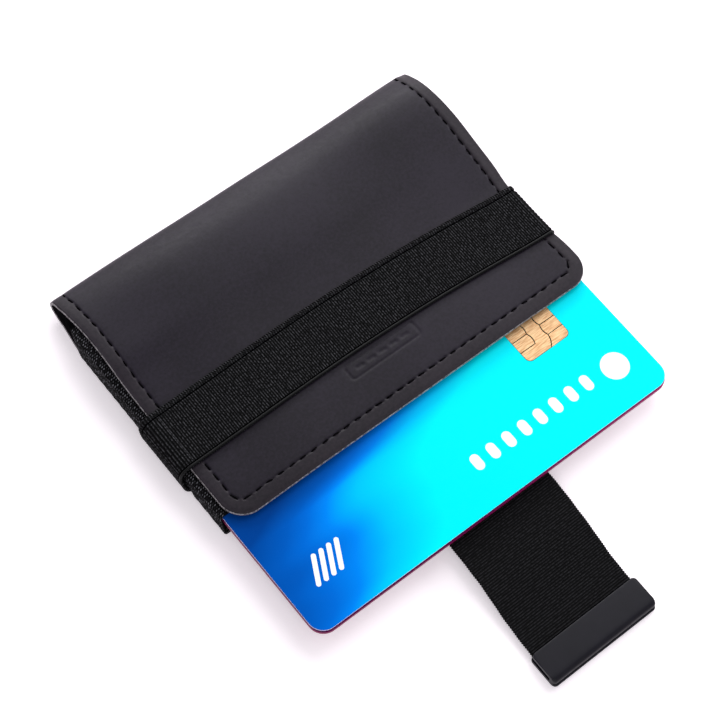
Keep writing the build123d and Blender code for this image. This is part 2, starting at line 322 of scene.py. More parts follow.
def prism(name, outlines, z0, z1, materials, levels=()):
    """Upright prisms in one mesh. levels cut their sides into strips, each with the next material."""
    heights = [z0, *levels, z1]
    last = len(materials) - 1
    points = []
    faces = []
    index = []
    for outline in outlines:
        n = len(outline)
        start = len(points)
        points += [(x, y, z) for z in heights for x, y in outline]
        faces.append(list(range(start + n - 1, start - 1, -1)))
        index.append(0)
        for k in range(len(heights) - 1):
            faces += (grid_quads(2, n, wrap_cols=True) + start + k * n).tolist()
            index += [min(1 + k, last)] * n
        faces.append(list(range(len(points) - n, len(points))))
        index.append(last)
    return mesh_piece(name, points, faces, materials, index)


def round_edges(piece, width, over_angle):
    """Rounds a piece's edges where its faces turn by more than an angle."""
    rounding = piece.modifiers.new("edges", "BEVEL")
    rounding.width = width * MM
    rounding.segments = 2
    rounding.limit_method = "ANGLE"
    rounding.angle_limit = math.radians(over_angle)


def rounded_outline(x, y, w, d, r, steps=10):
    """A rounded rectangle's points, anticlockwise."""
    out = []
    for k, (sx, sy) in enumerate(((1, -1), (1, 1), (-1, 1), (-1, -1))):
        cx = x + sx * (w / 2 - r)
        cy = y + sy * (d / 2 - r)
        for a in np.linspace(k * math.pi / 2 - math.pi / 2, k * math.pi / 2, steps):
            out.append((cx + r * math.cos(a), cy + r * math.sin(a)))
    return out


def placed(piece, body, slot_name, *nodes):
    """A piece rides on its body and stands for its nodes. slot_name is not used."""
    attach(piece, body)
    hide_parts(*nodes)
    return piece


# ---- Materials ----
def linear(r, g, b):
    """A colour from 0 to 255 as the display shows it, made linear."""
    out = []
    for c in (r / 255, g / 255, b / 255):
        out.append(c / 12.92 if c <= 0.04045 else ((c + 0.055) / 1.055) ** 2.4)
    return (*out, 1.0)


class Look:
    """A principled material with short calls for its texture nodes. Colours go from 0 to 255."""

    def __init__(self, name, colour, roughness, specular=0.5, metallic=0.0, uv=False):
        self.mat = bpy.data.materials.new(name)
        self.mat.use_nodes = True
        self.tree = self.mat.node_tree
        self.shader = self.tree.nodes["Principled BSDF"]
        self.finish(
            Base_Color=linear(*colour), Roughness=roughness, Specular_IOR_Level=specular, Metallic=metallic)
        self.place = self.node("TexCoord").outputs["UV" if uv else "Object"]
        self.per_mm = 1 / UV_MM if uv else 1 / MM
        self.relief = None

    def put(self, socket, value):
        """Sets a socket to a value or to another node's output."""
        if isinstance(value, bpy.types.NodeSocket):
            self.tree.links.new(value, socket)
        else:
            socket.default_value = value

    def fill(self, node, inputs):
        """Sets a node's sockets by name, with _ for a space."""
        for key, value in inputs.items():
            self.put(node.inputs[key.replace("_", " ")], value)
        return node

    def node(self, kind, **inputs):
        return self.fill(self.tree.nodes.new("ShaderNode" + kind), inputs)

    def finish(self, **inputs):
        """Sets the shader's own sockets."""
        self.fill(self.shader, inputs)

    def maths(self, operation, a, b):
        made = self.node("Math")
        made.operation = operation
        self.put(made.inputs[0], a)
        self.put(made.inputs[1], b)
        return made.outputs[0]

    def product(self, a, b):
        return self.maths("MULTIPLY", a, b)

    def total(self, a, b):
        return self.maths("ADD", a, b)

    def stretched(self, x, y, z, turn=0.0):
        """The texture place scaled by so many features to a millimetre on each axis."""
        scale = (x * self.per_mm, y * self.per_mm, z * self.per_mm)
        return self.node("Mapping", Vector=self.place, Scale=scale, Rotation=(0, 0, turn)).outputs[0]

    def noise(self, per_mm, detail=2.0, rough=0.5):
        made = self.node(
            "TexNoise", Vector=self.place, Scale=per_mm * self.per_mm, Detail=detail, Roughness=rough)
        return made.outputs["Fac"]

    def noise_at(self, place, detail=2.0, rough=0.5):
        made = self.node("TexNoise", Vector=place, Scale=1.0, Detail=detail, Roughness=rough)
        return made.outputs["Fac"]

    def cells(self, per_mm):
        return self.node("TexVoronoi", Vector=self.place, Scale=per_mm * self.per_mm).outputs["Distance"]

    def waves(self, per_mm, direction, distortion=0.0, phase=0.0):
        scale = per_mm * self.per_mm * math.pi / 10
        made = self.node(
            "TexWave", Vector=self.place, Scale=scale, Distortion=distortion, Phase_Offset=phase)
        made.bands_direction = direction
        return made.outputs["Fac"]

    def spread(self, value, low, high, from_low=0.3, from_high=0.7):
        made = self.node(
            "MapRange", Value=value, From_Min=from_low, From_Max=from_high, To_Min=low, To_Max=high)
        return made.outputs["Result"]

    def colour_by(self, value, *stops):
        """The colour goes through the stops, each a place from 0 to 1 and a colour."""
        made = self.node("ValToRGB", Fac=value)
        while len(made.color_ramp.elements) < len(stops):
            made.color_ramp.elements.new(0.5)
        for element, (at, colour) in zip(made.color_ramp.elements, stops):
            element.position = at
            element.color = linear(*colour)
        self.finish(Base_Color=made.outputs["Color"])

    def bump(self, height, depth_mm, strength=0.5):
        """Adds relief on top of what is there already."""
        made = self.node("Bump", Height=height, Strength=strength, Distance=depth_mm * MM)
        if self.relief is not None:
            self.put(made.inputs["Normal"], self.relief)
        self.relief = made.outputs["Normal"]
        self.finish(Normal=self.relief)


def leather_look(name, dark, pale):
    """Smooth leather with a fine grain, mottled between two colours."""
    look = Look(name, dark, 0.5, 0.18)
    cloud = look.product(look.noise(0.05), 0.4)
    fine = look.product(look.noise(1.6, 4.0, 0.6), 0.6)
    look.colour_by(look.total(cloud, fine), (0.40, dark), (0.60, pale))
    look.bump(look.cells(2.6), 0.010, 0.4)
    look.bump(look.noise(9.0, 3.0), 0.008, 0.4)
    look.finish(
        Roughness=look.spread(look.noise(0.9, 3.0), 0.46, 0.53),
        Sheen_Weight=0.07, Sheen_Roughness=0.45, Sheen_Tint=linear(240, 215, 250))
    return look


def fine_look(name, colour, roughness, specular, per_mm, depth, strength=0.5):
    """One colour with a fine unevenness."""
    look = Look(name, colour, roughness, specular)
    look.bump(look.noise(per_mm), depth, strength)
    return look


leather = leather_look("cover_leather", (16, 12, 22), (28, 23, 35))
border = leather_look("cover_border", (20, 16, 24), (33, 27, 35))

flesh = Look("leather_flesh_side", (24, 22, 26), 0.85, 0.1)
flesh.bump(flesh.noise(5.0, 4.0), 0.05, 0.7)
flesh.colour_by(flesh.noise(1.5, 4.0), (0.3, (16, 14, 17)), (0.7, (30, 28, 32)))

cut = Look("leather_cut_edge", (150, 145, 148), 0.8, 0.2)
cut.bump(cut.noise(7.0, 3.0), 0.05, 0.8)
cut.colour_by(cut.noise(2.0, 4.0), (0.35, (78, 73, 76)), (0.65, (172, 168, 172)))

lining = Look("lining_cloth", (16, 15, 18), 0.85, 0.1)
lining.bump(lining.waves(2.2, "X"), 0.03)
lining.bump(lining.waves(2.2, "Y"), 0.03)
lining.colour_by(lining.noise(2.0, 3.0), (0.3, (12, 11, 14)), (0.7, (22, 21, 25)))

thread = Look("thread", (4, 4, 5), 0.8, 0.03, uv=True)
twist = thread.waves(5.0, "DIAGONAL")
thread.bump(twist, 0.05, 0.7)
thread.colour_by(twist, (0.2, (1, 1, 2)), (0.8, (8, 8, 10)))

knit = Look("sleeve_elastic", (14, 14, 16), 0.8, 0.08, uv=True)
loops = knit.product(knit.waves(1 / 0.5, "Y"), knit.waves(2 / 0.6, "DIAGONAL", 0.6))
uneven = knit.spread(knit.noise(1.5, 1.0), 0.25, 1.0, 0.4, 0.6)
knit.bump(knit.noise(3.0, 3.0), 0.08, 0.8)
knit.colour_by(
    knit.product(loops, uneven), (0.06, (2, 2, 3)), (0.26, (20, 20, 23)), (0.72, (102, 102, 108)))

elastic = Look("band_elastic", (16, 16, 18), 0.75, 0.08, uv=True)
rib_crest = elastic.waves(1 / BAND_RIB, "X", phase=math.pi / 2)
crest_shine_dots = elastic.spread(elastic.noise_at(elastic.stretched(2.4, 2.2, 1.0), 1.0), 0.35, 1.0)
elastic.bump(elastic.noise(5.0), 0.03)
# Painted highlights: the rib crests are painted lighter grey, in specks, as the band's sheen.
elastic.colour_by(
    elastic.product(rib_crest, crest_shine_dots), (0.12, (2, 2, 3)), (0.5, (17, 17, 19)), (0.92, (70, 70, 74)))

groove = fine_look("band_groove", (2, 2, 3), 0.9, 0.0, 4.0, 0.02)
piping = fine_look("band_piping", (13, 13, 15), 0.5, 0.15, 5.0, 0.02)

webbing = Look("strap_ribbon", (8, 8, 10), 0.7, 0.07, uv=True)
weft = webbing.waves(1 / RIBBON_RIB, "Y", phase=math.pi / 2)
shine_speckle = webbing.spread(webbing.noise_at(webbing.stretched(2.4, 2.0, 1.0), 1.0), 0.45, 1.0, 0.35, 0.65)
webbing.bump(webbing.waves(3.4, "X", 0.8), 0.03)
# Painted highlights: the rib crests are painted lighter grey, broken into specks, as the ribbon's sheen; the
# troughs are near-black.
webbing.colour_by(
    webbing.product(weft, shine_speckle), (0.1, (2, 2, 3)), (0.45, (8, 8, 10)), (0.95, (38, 38, 41)))

metal = Look("tab_metal", (22, 21, 28), 0.42, 0.2)
metal.bump(metal.noise(14.0), 0.006)
metal.colour_by(metal.noise(0.2, 3.0), (0.3, (13, 12, 21)), (0.7, (17, 16, 26)))
metal.finish(Roughness=metal.spread(metal.noise(0.6, 4.0), 0.38, 0.48))

gold = Look("chip_gold", (224, 170, 112), 0.4, 0.3, metallic=0.15)
brushed = gold.noise_at(gold.stretched(0.5, 4.0, 1.0), 3.0)
gold.bump(brushed, 0.01)
gold.colour_by(brushed, (0.35, (200, 148, 98)), (0.65, (240, 202, 152)))
gold_gap = fine_look("chip_gap", (24, 16, 12), 0.6, 0.05, 6.0, 0.01)
white_print = fine_look("white_print", (250, 253, 253), 0.45, 0.1, 8.0, 0.004, 0.4)


def card_print(name, stops, direction, start, length, swoosh=0.0):
    """A glossy print whose colour runs along a direction in the card's plane, with a soft swoosh and painted
    shade, darker and bluer near and under the cover's mouth edge.
    """
    look = Look(name, stops[0][1], 0.26, 0.02)
    split = look.node("SeparateXYZ", Vector=look.place)
    by_x = look.product(split.outputs["X"], direction[0] / MM / length)
    by_y = look.product(split.outputs["Y"], direction[1] / MM / length)
    sweep = look.noise_at(look.stretched(0.025, 0.10, 0.0, turn=math.radians(-38)), 1.0, 0.3)
    soft = look.product(look.maths("SUBTRACT", sweep, 0.5), swoosh)
    # Painted shade: besides the start offset, the value falls a further 0.22 from y -34.5 to -30 mm, near
    # the cover's mouth edge, and stays low under it, where the flap shades the card.
    start_and_mouth_shade = look.spread(split.outputs["Y"], start / length, start / length + 0.22, -0.0345, -0.030)
    look.colour_by(look.total(look.total(by_x, by_y), look.maths("SUBTRACT", soft, start_and_mouth_shade)), *stops)
    look.finish(Roughness=look.spread(look.noise(0.5, 3.0), 0.22, 0.32))
    look.bump(look.noise(6.0), 0.002, 0.4)
    return look


blue_print = card_print(
    "card_blue",
    [
        (0.0, (0, 63, 145)),
        (0.28, (0, 88, 186)),
        (0.40, (0, 105, 212)),
        (0.52, (0, 131, 240)),
        (0.70, (0, 194, 255)),
        (0.86, (0, 220, 255)),
        (1.0, (0, 240, 255)),
    ],
    (0.775, -0.632), -14.0, 35.0, swoosh=0.42,
)
pink_print = card_print("card_pink", [(0.0, (120, 20, 90)), (1.0, (220, 60, 140))], (0.9, 0.4), -30.0, 60.0)
dark_print = card_print("card_dark", [(0.0, (26, 24, 44)), (1.0, (44, 38, 62))], (0.9, 0.4), -30.0, 60.0)
# The cards' sides: a thin pale band painted as the highlight along the lit top of a side, and below it a
# dark mauve that is the side's own colour darkened as painted shade.
edge_highlight_band = fine_look("card_side_painted_highlight", (232, 222, 250), 0.45, 0.3, 8.0, 0.01)
edge_shaded_mauve = fine_look("card_side_mauve_and_shade", (44, 12, 58), 0.45, 0.3, 8.0, 0.01)
edge_magenta = fine_look("card_magenta_layer", (124, 12, 72), 0.45, 0.3, 8.0, 0.01)


# ---- The cover's skin ----
def band_centre(x):
    """The middle of the band on the front, and on the back, where it runs straight."""
    ends = BAND_LINE_X[0], BAND_LINE_X[-1]
    front = smooth_curve(np.clip(x, *ends), BAND_LINE_X, BAND_LINE_Y)
    return front, np.interp(x, ends, BAND_BACK_Y)


def band_press(x, y):
    """How far the band, let into the back, lifts the layers above it."""
    offset = np.abs(y - band_centre(x)[1])
    return (1 - smoothstep(offset, BAND_W / 2 + 0.1, BAND_W / 2 + 1.5)) * (BAND_T + 0.03)


def build_skin():
    """The cover's side view at many places along the spine, divided evenly along its length.

    Each side view starts at the back panel's mouth edge and ends at the front panel's. q is
    the root of the distance from the fold's tip, less than 0 on the back."""
    xs = np.linspace(-HALF_W, HALF_W, 175)
    reach = math.sqrt(Y_TIP - Y_MOUTH)
    q = np.linspace(-reach, reach, 3000)
    rows = BACK_HEIGHTS[::-1] + [(Y_TIP, *TIP_HEIGHTS)] + FRONT_HEIGHTS
    knots = np.sqrt([Y_TIP - row[0] for row in rows])
    knots[:len(BACK_HEIGHTS)] *= -1
    left, middle, right = (smooth_curve(q, knots, [row[k] for row in rows]) for k in (1, 2, 3))
    to_left = 1 - smoothstep(xs, -HALF_W, -20)[:, None]
    to_right = smoothstep(xs, 12, HALF_W)[:, None]
    z = to_left * left + (1 - to_left - to_right) * middle + to_right * right
    y = np.broadcast_to(Y_TIP - q**2, z.shape)
    z = z + np.where(q < 0, band_press(xs[:, None], y), 0)
    runs = [run_along(np.column_stack(side_view)) for side_view in zip(y, z)]
    even = np.linspace(0, 1, 2000)
    even_y = np.stack([np.interp(even, run / run[-1], v) for run, v in zip(runs, y)])
    even_z = np.stack([np.interp(even, run / run[-1], v) for run, v in zip(runs, z)])
    return xs, np.mean([run[-1] for run in runs]), even_y, even_z


SKIN_X, SKIN_LEN, SKIN_Y, SKIN_Z = build_skin()


def sample(table, x, s):
    """Reads a table of the skin between its columns and rows."""
    u = np.clip((x - SKIN_X[0]) / (SKIN_X[1] - SKIN_X[0]), 0, len(SKIN_X) - 1.001)
    v = np.clip(s / SKIN_LEN * (table.shape[1] - 1), 0, table.shape[1] - 1.001)
    i = u.astype(int)
    j = v.astype(int)
    a = u - i
    b = v - j
    low = table[i, j] * (1 - b) + table[i, j + 1] * b
    high = table[i + 1, j] * (1 - b) + table[i + 1, j + 1] * b
    return low * (1 - a) + high * a


def squeeze(x, y):
    """The right edges bow out behind the band, which draws them in."""
    return smoothstep(x, 36, HALF_W) * (0.5 * bell(y - 14, 8) - 0.7 * bell(y + 10, 9, 4))


def skin(x, s):
    """Points of the outer skin at x along the spine and s along the folded sheet."""
    x, s = np.broadcast_arrays(np.asarray(x, float), np.asarray(s, float))
    y = sample(SKIN_Y, x, s)
    bow = np.where(s > SKIN_LEN / 2, 0.4 * bell(y - 18, 8.5), -0.8 * bell(y - 18.5, 5))
    return np.stack([x + squeeze(x, y) + smoothstep(-x, 30, HALF_W) * bow, y, sample(SKIN_Z, x, s)], -1)


def skin_normal(x, s):
    step = 0.15
    along = skin(x, np.clip(s + step, 0, SKIN_LEN)) - skin(x, np.clip(s - step, 0, SKIN_LEN))
    across = skin(np.clip(x + step, -HALF_W, HALF_W), s) - skin(np.clip(x - step, -HALF_W, HALF_W), s)
    return unit(np.cross(along, across))


def front_height(x, y):
    """Height of the front panel's outer skin over a point of the plan."""
    column = np.clip(np.rint((x - SKIN_X[0]) / (SKIN_X[1] - SKIN_X[0])), 0, len(SKIN_X) - 1).astype(int)
    column, y = np.broadcast_arrays(column, y)
    out = np.zeros(column.shape)
    half = SKIN_Y.shape[1] // 2
    for c in np.unique(column):
        hit = column == c
        out[hit] = np.interp(y[hit], SKIN_Y[c, half:][::-1], SKIN_Z[c, half:][::-1])
    return out


def stitch_places():
    """Middle and direction of each stitch on the flat sheet, all round its edge."""
    w = 2 * HALF_W - 2 * STITCH_INSET
    h = SKIN_LEN - 2 * MOUTH_INSET
    line = rounded_outline(0, SKIN_LEN / 2, w, h, CORNER_R - STITCH_INSET, 200)
    line = np.array(line[-1:] + line)
    run = run_along(line)
    count = round(run[-1] / STITCH_PITCH)
    at = (np.arange(count) + 0.5) * run[-1] / count
    i = np.searchsorted(run, at) - 1
    along = line[i + 1] - line[i]
    angle = np.arctan2(along[:, 1], along[:, 0])
    return np.interp(at, run, line[:, 0]), np.interp(at, run, line[:, 1]), angle


rng = np.random.default_rng(7)
stitch_x, stitch_s, stitch_angle = stitch_places()
stitch_angle = stitch_angle + rng.normal(0.0, 0.07, len(stitch_angle))
STITCHES = list(zip(stitch_x, stitch_s, stitch_angle))


def stitch_relief(x, s):
    """How far the thread pulls the leather in: a bed under it, a hole at each end, a soft dip round it."""
    half = STITCH_LEN / 2
    out = np.zeros(x.shape)
    for cx, cs, a in STITCHES:
        near = (np.abs(x - cx) < 2.2) & (np.abs(s - cs) < 2.2)
        dx = x[near] - cx
        ds = s[near] - cs
        along = np.abs(dx * math.cos(a) + ds * math.sin(a))
        side = np.abs(ds * math.cos(a) - dx * math.sin(a))
        bed = 0.12 * bell(side, 0.20) * (1 - smoothstep(along, half - 0.3, half + 0.35))
        hole = 0.30 * bell(np.hypot(along - half, side), 0.20)
        dip = 0.04 * bell(side, 0.9) * bell(along, 1.5)
        out[near] = np.maximum(out[near], bed + hole + dip)
    return out


def mark_relief(x, y):
    """A plain pressed frame with short bars in a row inside it."""
    depth = 0.12 * bell(rectangle_distance(x - MARK_X, y - MARK_Y, MARK_W / 2, MARK_D / 2, MARK_R), 0.22)
    for k in range(MARK_BARS):
        bar_x = MARK_X + (k - (MARK_BARS - 1) / 2) * MARK_BAR_PITCH
        bar = rectangle_distance(x - bar_x, y - MARK_Y, MARK_BAR_HALF_W, MARK_BAR_HALF_D, 0)
        depth = np.maximum(depth, 0.11 * bell(np.maximum(bar, 0), 0.2))
    return depth


def soft_waves(x, s):
    """The slow unevenness of worked leather."""
    out = 0.03 * np.sin(x * 0.17 + s * 0.11 + 0.4) + 0.02 * np.sin(x * -0.12 + s * 0.23 + 1.7)
    return out + 0.008 * np.sin(x * 0.37 + s * 0.09 + 2.1)


# ---- The cover ----
def within_line(x, s, side_inset, mouth_inset):
    """Distance inward from a line round the flat sheet."""
    return -rectangle_distance(
        x, s - SKIN_LEN / 2, HALF_W - side_inset, SKIN_LEN / 2 - mouth_inset, CORNER_R - side_inset)


def sheet_grid(inset, shares, lengths):
    """A grid over the flat sheet: rows along the folded length, columns that close in at the corners."""
    r = CORNER_R - inset
    from_end = np.minimum(lengths - inset, SKIN_LEN - inset - lengths)
    inward = np.clip(r - from_end, 0, r)
    half = HALF_W - inset - (r - np.sqrt(np.maximum(r * r - inward * inward, 0)))
    x = shares[None, :] * half[:, None]
    s = np.broadcast_to(lengths[:, None], x.shape)
    return x, s


def sheet_rows(inset, corner_count, corner_share, stops):
    """Rows for the whole folded length: close together at its ends, then spaced by the stops."""
    turn = np.linspace(0, math.pi / 2, corner_count)[:-1]
    corner = inset + (CORNER_R - inset) * (1 - np.cos(turn)) * corner_share
    first = np.concatenate([corner, spaced([*stops, (SKIN_LEN / 2, None)])])
    return np.concatenate([first, SKIN_LEN - first[-2::-1]])


def build_cover():
    """The leather, with fine squares where there are stitches or the pressed frame."""
    half = spaced([
        (0, 0.3), (MARK_W / 2 + 0.95, 0.55), (0.872 * HALF_W, 0.15), (0.965 * HALF_W, 0.3), (HALF_W, None)])
    shares = mirrored(half / HALF_W)
    rows = sheet_rows(0, 14, 0.35, [(1.75, 0.15), (5.6, 0.4), (8.2, 0.22), (14.2, 0.45)])
    x, s = sheet_grid(0, shares, rows)
    base = skin(x, s)
    normal = skin_normal(x, s)
    on_front = s > SKIN_LEN / 2
    front_line, back_line = band_centre(base[..., 0])
    under_band = bell(base[..., 1] - np.where(on_front, front_line, back_line), 6.4, 8)
    waves = soft_waves(x, s) * (1 - under_band) * np.where(on_front, 1.0, 0.3)
    pressed = np.where(on_front, mark_relief(base[..., 0], base[..., 1]), 0)
    roll = 0.06 + 0.24 * smoothstep(x, HALF_W - 6, HALF_W - 1)
    rolled = roll * (1 - smoothstep(within_line(x, s, 0, 0), 0, 0.7 + 5 * roll))
    outer = base + normal * (waves - stitch_relief(x, s) - pressed - rolled)[..., None]
    outer[..., 2] = np.maximum(outer[..., 2], 0.0)
    inner = base - normal * LEATHER_T
    past_stitches = within_line(x, s, STITCH_INSET, MOUTH_INSET)
    outer_index = np.where((past_stitches[:-1, :-1] + past_stitches[1:, 1:]) / 2 < 0, 3, 0).ravel()
    looks = [leather.mat, flesh.mat, cut.mat, border.mat]
    return slab("cover_shell", outer, inner, looks, outer_index, bulge=0.10)


placed(build_cover(), "root", "cover_leather", "cover_leather")


def build_lining():
    """The thin cloth inside the cover, a little smaller than the leather."""
    shares = mirrored(spaced([(0, 1.2), (HALF_W, None)]) / HALF_W)
    x, s = sheet_grid(LINING_INSET, shares, sheet_rows(LINING_INSET, 10, 1.0, [(CORNER_R, 0.6)]))
    at = skin(x, s)
    normal = skin_normal(x, s)
    depth = LEATHER_T + LAYER_GAP / 2
    outer = at - normal * depth
    inner = at - normal * (depth + LINING_T)
    return slab("cover_lining_cloth", outer, inner, [lining.mat] * 3, bulge=0.02)


lining_piece = placed(build_lining(), "root", "lining_cloth", "cover_lining")


# ---- Thread ----
def thread_tubes(name, paths, radius, node):
    """Short lengths of thread, each a tube along its own points."""
    around = 8
    turn = np.arange(around) * 2 * math.pi / around
    points = []
    faces = []
    uv = []
    for k, (path, up) in enumerate(paths):
        n = len(path)
        tangent = unit(np.gradient(path, axis=0))
        side = unit(np.cross(tangent, np.broadcast_to(up, tangent.shape)))
        lift = np.cross(side, tangent)
        ring = path[:, None, :] + radius * (
            np.cos(turn)[None, :, None] * side[:, None, :] * 1.15
            + np.sin(turn)[None, :, None] * lift[:, None, :]
        )
        points.append(ring.reshape(-1, 3))
        faces.append(grid_quads(n, around, wrap_cols=True) + k * n * around)
        u, v = np.meshgrid(run_along(path), turn * radius, indexing="ij")
        uv.append(np.stack([u, v], -1).reshape(-1, 2))
    piece = mesh_piece(
        name, np.concatenate(points), np.concatenate(faces).tolist(), [thread.mat],
        uv=np.concatenate(uv), sharp=80)
    placed(piece, "root", "thread", node)


def surface_stitches(front):
    """The edge stitches of one panel, their ends sunk into the leather."""
    t = np.linspace(-1, 1, 9)
    out = []
    for cx, cs, a in STITCHES:
        if (cs > SKIN_LEN / 2) != front:
            continue
        x = cx + math.cos(a) * t * STITCH_LEN / 2
        s = cs + math.sin(a) * t * STITCH_LEN / 2
        at = skin(x, s) - skin_normal(x, s) * (0.42 * np.abs(t) ** 3.5)[:, None]
        if not front:
            at[:, 2] = np.maximum(at[:, 2], THREAD_R + 0.01)
        out.append((at, skin_normal(cx, cs)))
    return out


thread_tubes("stitches_front", surface_stitches(True), THREAD_R, "edge_stitching_front")
thread_tubes("stitches_back", surface_stitches(False), THREAD_R, "edge_stitching_back")


# ---- Sleeve ----
def sleeve_roof(x, y):
    """Height of the sleeve's outer top, under the lining."""
    return front_height(np.clip(x, 0.2 - HALF_W, HALF_W - 1.5), y) - LEATHER_T - LINING_T - 2 * LAYER_GAP


def sleeve_loop(inset):
    """The sleeve's end view, going round from the left end of its floor.

    Gives each point's x, and its share of the height, from -1 on the floor to 1 on the roof."""
    x0 = SLEEVE_X0 + inset
    x1 = SLEEVE_X1 - inset
    r = 0.7 - inset * 0.5
    flat_x = np.concatenate([
        np.linspace(x0 + r, SLEEVE_FINE_X0, 8),
        np.linspace(SLEEVE_FINE_X0, SLEEVE_FINE_X1, 41)[1:-1],
        np.linspace(SLEEVE_FINE_X1, x1 - r, 8),
    ])
    side = np.linspace(-1, 1, 46)[1:-1]
    rise = np.sign(side) * np.abs(side) ** 0.9
    bow = r * (1 - np.abs(side) ** 9.0) ** 0.5
    full = np.ones(len(flat_x))
    x = np.concatenate([flat_x, x1 - r + bow, flat_x[::-1], x0 + r - bow])
    share = np.concatenate([-full, rise, full, -rise])
    return x, share


def sleeve_surface(ys, inset):
    """Rings of points along the sleeve, at a depth below its outer face, and which are at its sides."""
    x, share = sleeve_loop(inset)
    xx, yy = np.meshgrid(x, ys)
    roof = sleeve_roof(xx, yy) - inset
    back_rise = 0.4 * np.clip((yy - 12) / (SLEEVE_Y1 - 12), 0, 1) * smoothstep(-xx, 20, 42)
    floor = SLEEVE_FLOOR + inset + band_press(xx, yy) + back_rise
    z = (floor + roof) / 2 + share * (roof - floor) / 2
    left_end = smoothstep(-xx, 38, 43)
    low_share = (1 - np.clip((z - floor) / (roof - floor), 0, 1)) * left_end
    drawn_in = 0.6 * smoothstep(yy, 18.5, SLEEVE_Y1) * left_end
    slant = low_share * (2.2 * smoothstep(yy, 12, SLEEVE_Y1) + 1.7 * smoothstep(-yy, 20, -SLEEVE_Y0))
    return np.stack([xx + drawn_in + squeeze(xx, yy), yy - slant, z], -1), np.abs(share) < 1


def build_sleeve():
    """The elastic tube. Its knit stands out at the two sides, where nothing presses on it."""
    ys = np.arange(SLEEVE_Y0, SLEEVE_Y1 + 0.01, 0.16)
    outer, at_side = sleeve_surface(ys, 0.0)
    inner, _ = sleeve_surface(ys, SLEEVE_T)
    run = run_along(outer[0][:, [0, 2]])
    u, v = np.meshgrid(run, ys)
    course = ripple(v, 0.95)
    wale = np.sin(2 * math.pi * (u / 0.8 + 0.25 * np.sign(course)))
    relief = 0.075 * course * wale + 0.03 * np.sin(2 * math.pi * (v / 2.3 + u / 1.7))
    out = unit(np.cross(np.gradient(outer, axis=1), np.gradient(outer, axis=0)))
    outer = outer + out * (relief * at_side)[..., None]
    rows, cols = outer.shape[:2]
    count = rows * cols
    quads = grid_quads(rows, cols, wrap_cols=True)
    ring = np.arange(cols)
    near_end = np.stack([ring, np.roll(ring, -1), np.roll(ring, -1) + count, ring + count], -1)
    far_end = near_end[:, ::-1] + (rows - 1) * cols
    faces = np.concatenate([quads, quads[:, ::-1] + count, near_end, far_end]).tolist()
    points = np.concatenate([outer.reshape(-1, 3), inner.reshape(-1, 3)])
    uv = np.stack([u, v], -1).reshape(-1, 2)
    piece = mesh_piece("sleeve_tube", points, faces, [knit.mat], uv=np.concatenate([uv, uv]), sharp=75)
    return piece, run[-1]


sleeve, sleeve_round = build_sleeve()
placed(
    sleeve, "root", "sleeve_elastic",
    "sleeve_front_panel", "sleeve_back_panel", "sleeve_gusset_left", "sleeve_gusset_right")


def seam_row(x0, x1, on_roof):
    """A straight row of stitches inside the sleeve."""
    up = -1 if on_roof else 1
    count = round((x1 - x0) / STITCH_PITCH)
    step = (x1 - x0) / count
    t = np.linspace(-1, 1, 7)
    y = np.full(7, SEAM_Y)
    out = []
    for k in range(count):
        x = x0 + step * (k + 0.5) + t * STITCH_LEN / 2
        face = sleeve_roof(x, y) - SLEEVE_T if on_roof else SLEEVE_FLOOR + SLEEVE_T
        z = face - up * (0.10 + 0.2 * np.abs(t) ** 3)
        out.append((np.stack([x, y, z], -1), (0, 0, up)))
    return out


roof_seam = seam_row(SEAM_X0, RIBBON_X - RIBBON_W / 2 - 1, True)
roof_seam += seam_row(RIBBON_X + RIBBON_W / 2 + 1, SEAM_X1, True)
floor_seam = seam_row(SEAM_X0, SEAM_X1, False)
thread_tubes("sleeve_stitches_front", roof_seam, INNER_THREAD_R, "sleeve_seam_front")
thread_tubes("sleeve_stitches_back", floor_seam, INNER_THREAD_R, "sleeve_seam_back")


# ---- Elastic band ----
def band_height(w, a):
    """Relief of the band's face: w across it from the mouth side, a along it."""
    cord = 0.14 * np.sqrt(np.clip(1 - ((w - 0.27) / 0.27) ** 2, 0, 1))
    grooves = 0.18 * bell(w - GROOVE_LOW, 0.12) + 0.22 * bell(w - GROOVE_HIGH, 0.16)
    middle = smoothstep(w, 0.65, 0.95) * (1 - smoothstep(w, 11.6, GROOVE_HIGH))
    top = smoothstep(w, 12.0, 12.25)
    purl = ripple(w / 0.85 + 0.5 * np.floor(a / BAND_RIB), 1)
    ribs = 0.085 * ripple(a, BAND_RIB) * (1 + 0.675 * purl)
    slanted = 0.07 * ripple(a + 0.55 * w, BAND_RIB)
    crown = 0.07 * np.sin(math.pi * np.clip((w - 12.0) / 1.2, 0, 1))
    return cord - grooves + middle * ribs + top * (slanted + crown)


def band_turn(flat_x, turn_x, top):
    """The band's inner face round one side of the wallet, from the top down, as x and height."""
    turn = np.linspace(0, math.pi, 60)[1:-1]
    x = flat_x + (turn_x - flat_x) * np.sin(turn) ** 0.6
    share = np.sign(np.cos(turn)) * np.abs(np.cos(turn)) ** 0.75
    return np.column_stack([x, (top + BAND_LOW) / 2 + (top - BAND_LOW) / 2 * share])


def band_route():
    """The band's inner face at mid width, once round, as x and height and distance run."""
    flat_left, flat_right = BAND_FLAT
    xs = np.linspace(flat_left, flat_right, 400)
    top = front_height(xs, band_centre(xs)[0]) + BAND_GAP
    points = np.concatenate([
        np.column_stack([xs, top]),
        band_turn(flat_right, BAND_RIGHT, top[-1]),
        np.column_stack([xs[::-1], np.full(len(xs), BAND_LOW)]),
        band_turn(flat_left, BAND_LEFT, top[0])[::-1],
        [(xs[0], top[0])],
    ])
    run = run_along(points)
    count = round(run[-1] / BAND_RIB) * 6
    even = np.linspace(0, run[-1], count, endpoint=False)
    return np.interp(even, run, points[:, 0]), np.interp(even, run, points[:, 1]), even


